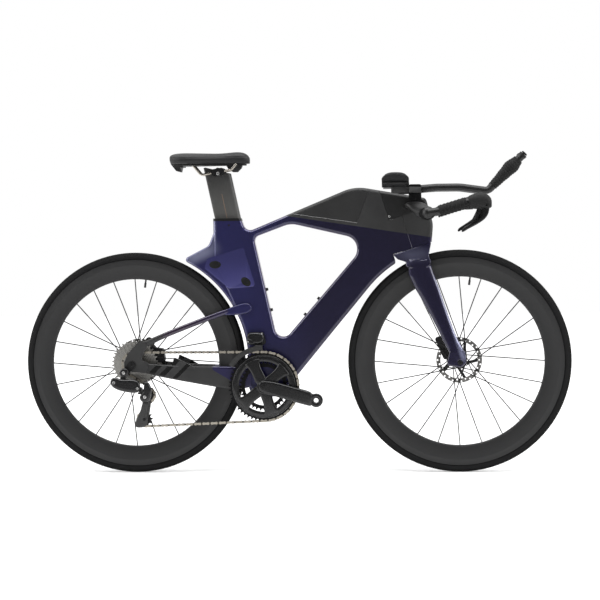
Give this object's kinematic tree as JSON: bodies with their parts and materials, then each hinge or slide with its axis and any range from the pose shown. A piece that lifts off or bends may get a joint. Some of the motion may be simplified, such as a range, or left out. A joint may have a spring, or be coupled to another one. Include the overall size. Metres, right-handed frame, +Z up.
{
  "type": "time trial bicycle",
  "caption": "Aero time trial bicycle with deep rims, disc brakes, a base bar with arm rests and extensions, turning steering, wheels, cranks and derailleurs.",
  "frame": {"origin": "on the ground midway between the wheel axles, in the middle plane of the bike", "axes": "+X forward, +Y to the rider's left, +Z up"},
  "size_m": [1.671, 0.4282, 0.9821],
  "materials": {
    "frame_paint": "gloss metallic paint over carbon",
    "carbon_dark": "matte carbon",
    "hatch_paint": "gloss metallic paint",
    "rim_carbon": "satin carbon",
    "tyre_rubber": "matte rubber",
    "spoke_black": "black bladed steel",
    "alloy_black": "black anodised",
    "alloy_silver": "satin silver",
    "steel_bright": "bright steel",
    "chain_bronze": "bronze tinted steel",
    "crank_black": "gloss black",
    "rubber_black": "soft black grip",
    "pad_fabric": "black foam pad",
    "saddle_skin": "black cover",
    "plastic_black": "black plastic"
  },
  "bodies": {
    "frame": {"main_frame": "frame_paint", "chain_stays": "carbon_dark", "seat_stays": "frame_paint", "seat_collar": "alloy_black", "frame_inserts": "alloy_silver", "frame_bearings": "alloy_black", "top_box": "carbon_dark", "rear_thru_axle": "alloy_black", "rear_caliper": "alloy_black", "front_derailleur": "plastic_black", "chain": "chain_bronze", "derailleur_hanger": "alloy_black", "rear_derailleur_body": "plastic_black"},
    "steering": {"fork": "frame_paint", "nose_fairing": "frame_paint", "stem": "carbon_dark", "base_bar": "carbon_dark", "bar_tapes": "rubber_black", "brake_hoods": "rubber_black", "extensions": "carbon_dark", "extension_grips": "rubber_black", "shifter_pods": "plastic_black", "extension_risers": "alloy_black", "arm_cups": "carbon_dark", "arm_pads": "pad_fabric", "front_thru_axle": "alloy_black", "front_caliper": "alloy_black"},
    "front_wheel": {"front_tyre": "tyre_rubber", "front_rim": "rim_carbon", "front_spokes": "spoke_black", "front_hub": "alloy_black", "front_rotor": "steel_bright"},
    "rear_wheel": {"rear_tyre": "tyre_rubber", "rear_rim": "rim_carbon", "rear_spokes": "spoke_black", "rear_hub": "alloy_black", "rear_rotor": "steel_bright"},
    "crankset": {"crank_right": "crank_black", "crank_left": "crank_black", "chainrings": "alloy_black"},
    "sprockets": {"cassette": "steel_bright"},
    "outer_link": {"derailleur_link_outer": "alloy_black"},
    "inner_link": {"derailleur_link_inner": "alloy_black"},
    "knuckle": {"derailleur_knuckle": "alloy_black"},
    "rear_cage": {"derailleur_cage": "alloy_silver"},
    "upper_pulley": {"guide_pulley": "plastic_black"},
    "lower_pulley": {"tension_pulley": "plastic_black"},
    "front_cage": {"front_derailleur_cage": "alloy_silver"},
    "post": {"seat_post": "carbon_dark", "saddle_clamp": "alloy_black"},
    "saddle": {"saddle_rails": "alloy_silver", "saddle_base": "plastic_black", "saddle_cover": "saddle_skin"},
    "right_lever": {"brake_lever_right": "alloy_black"},
    "left_lever": {"brake_lever_left": "alloy_black"},
    "right_button": {"shift_button_right": "plastic_black"},
    "left_button": {"shift_button_left": "plastic_black"},
    "hatch": {"storage_hatch": "hatch_paint"},
    "rear_latch": {"hatch_latch_rear": "plastic_black"},
    "front_latch": {"hatch_latch_front": "plastic_black"}
  },
  "joints": [
    {"name": "steering_turn", "type": "hinge", "parent": "frame", "child": "steering", "pos_m": [0.45358, 0, 0.32547], "axis": [-0.3007, 0, 0.9537], "range_deg": [-35, 35]},
    {"name": "front_wheel_spin", "type": "hinge", "parent": "steering", "child": "front_wheel", "pos_m": [0.4965, 0, 0.339], "axis": [0, 1, 0], "continuous": true},
    {"name": "rear_wheel_spin", "type": "hinge", "parent": "frame", "child": "rear_wheel", "pos_m": [-0.4965, 0, 0.339], "axis": [0, 1, 0], "continuous": true},
    {"name": "crank_spin", "type": "hinge", "parent": "frame", "child": "crankset", "pos_m": [-0.09777, 0, 0.268], "axis": [0, 1, 0], "continuous": true, "deforming": ["chain"]},
    {"name": "cassette_spin", "type": "hinge", "parent": "frame", "child": "sprockets", "pos_m": [-0.4965, 0, 0.339], "axis": [0, 1, 0], "continuous": true, "deforming": ["chain"]},
    {"name": "shift_outer_link", "type": "hinge", "parent": "frame", "child": "outer_link", "pos_m": [-0.522, -0.091, 0.2817], "axis": [0, 0, 1], "range_deg": [-17, 21], "deforming": ["chain"]},
    {"name": "shift_inner_link", "type": "hinge", "parent": "frame", "child": "inner_link", "pos_m": [-0.522, -0.079, 0.2817], "axis": [0, 0, 1], "range_deg": [-18, 22]},
    {"name": "shift_knuckle", "type": "hinge", "parent": "outer_link", "child": "knuckle", "pos_m": [-0.47, -0.091, 0.2557], "axis": [0, 0, 1], "range_deg": [-22, 18]},
    {"name": "cage_swing", "type": "hinge", "parent": "knuckle", "child": "rear_cage", "pos_m": [-0.455, -0.048, 0.243], "axis": [0, 1, 0], "range_deg": [-20, 35], "stiffness_Nm_per_rad": 0.6, "deforming": ["chain"]},
    {"name": "upper_pulley_spin", "type": "hinge", "parent": "rear_cage", "child": "upper_pulley", "pos_m": [-0.455, -0.048, 0.243], "axis": [0, 1, 0], "continuous": true, "deforming": ["chain"]},
    {"name": "lower_pulley_spin", "type": "hinge", "parent": "rear_cage", "child": "lower_pulley", "pos_m": [-0.46486, -0.048, 0.16966], "axis": [0, 1, 0], "continuous": true, "deforming": ["chain"]},
    {"name": "front_shift", "type": "slide", "parent": "frame", "child": "front_cage", "axis": [0, 1, 0], "range_m": [0, 0.008], "deforming": ["chain"]},
    {"name": "seat_height", "type": "slide", "parent": "frame", "child": "post", "axis": [-0.2079, 0, 0.9781], "range_m": [-0.015, 0.04]},
    {"name": "saddle_fore_aft", "type": "slide", "parent": "post", "child": "saddle", "axis": [0.9865, 0, 0.164], "range_m": [-0.01, 0.01]},
    {"name": "right_brake", "type": "hinge", "parent": "steering", "child": "right_lever", "pos_m": [0.57244, -0.196, 0.80887], "axis": [0, 1, 0], "range_deg": [0, 18], "stiffness_Nm_per_rad": 1},
    {"name": "left_brake", "type": "hinge", "parent": "steering", "child": "left_lever", "pos_m": [0.57244, 0.196, 0.80887], "axis": [0, 1, 0], "range_deg": [0, 18], "stiffness_Nm_per_rad": 1},
    {"name": "right_button_press", "type": "slide", "parent": "steering", "child": "right_button", "axis": [-0.7003, 0, -0.7138], "range_m": [0, 0.0015], "stiffness_N_per_m": 600},
    {"name": "left_button_press", "type": "slide", "parent": "steering", "child": "left_button", "axis": [-0.7003, 0, -0.7138], "range_m": [0, 0.0015], "stiffness_N_per_m": 600},
    {"name": "hatch_pull", "type": "slide", "parent": "frame", "child": "hatch", "axis": [0, -1, 0], "range_m": [0, 0.06]},
    {"name": "rear_latch_turn", "type": "hinge", "parent": "hatch", "child": "rear_latch", "pos_m": [-0.24649, 0, 0.63854], "axis": [0, 1, 0], "range_deg": [0, 90]},
    {"name": "front_latch_turn", "type": "hinge", "parent": "hatch", "child": "front_latch", "pos_m": [-0.14929, 0, 0.58844], "axis": [0, 1, 0], "range_deg": [0, 90]}
  ],
  "couplings": [
    {"joint": "cassette_spin", "follows": "crank_spin", "ratio": 3.0588},
    {"joint": "upper_pulley_spin", "follows": "crank_spin", "ratio": -4.7273},
    {"joint": "lower_pulley_spin", "follows": "crank_spin", "ratio": 4.7273},
    {"joint": "shift_inner_link", "follows": "shift_outer_link", "ratio": 1},
    {"joint": "shift_knuckle", "follows": "shift_outer_link", "ratio": -1}
  ]
}
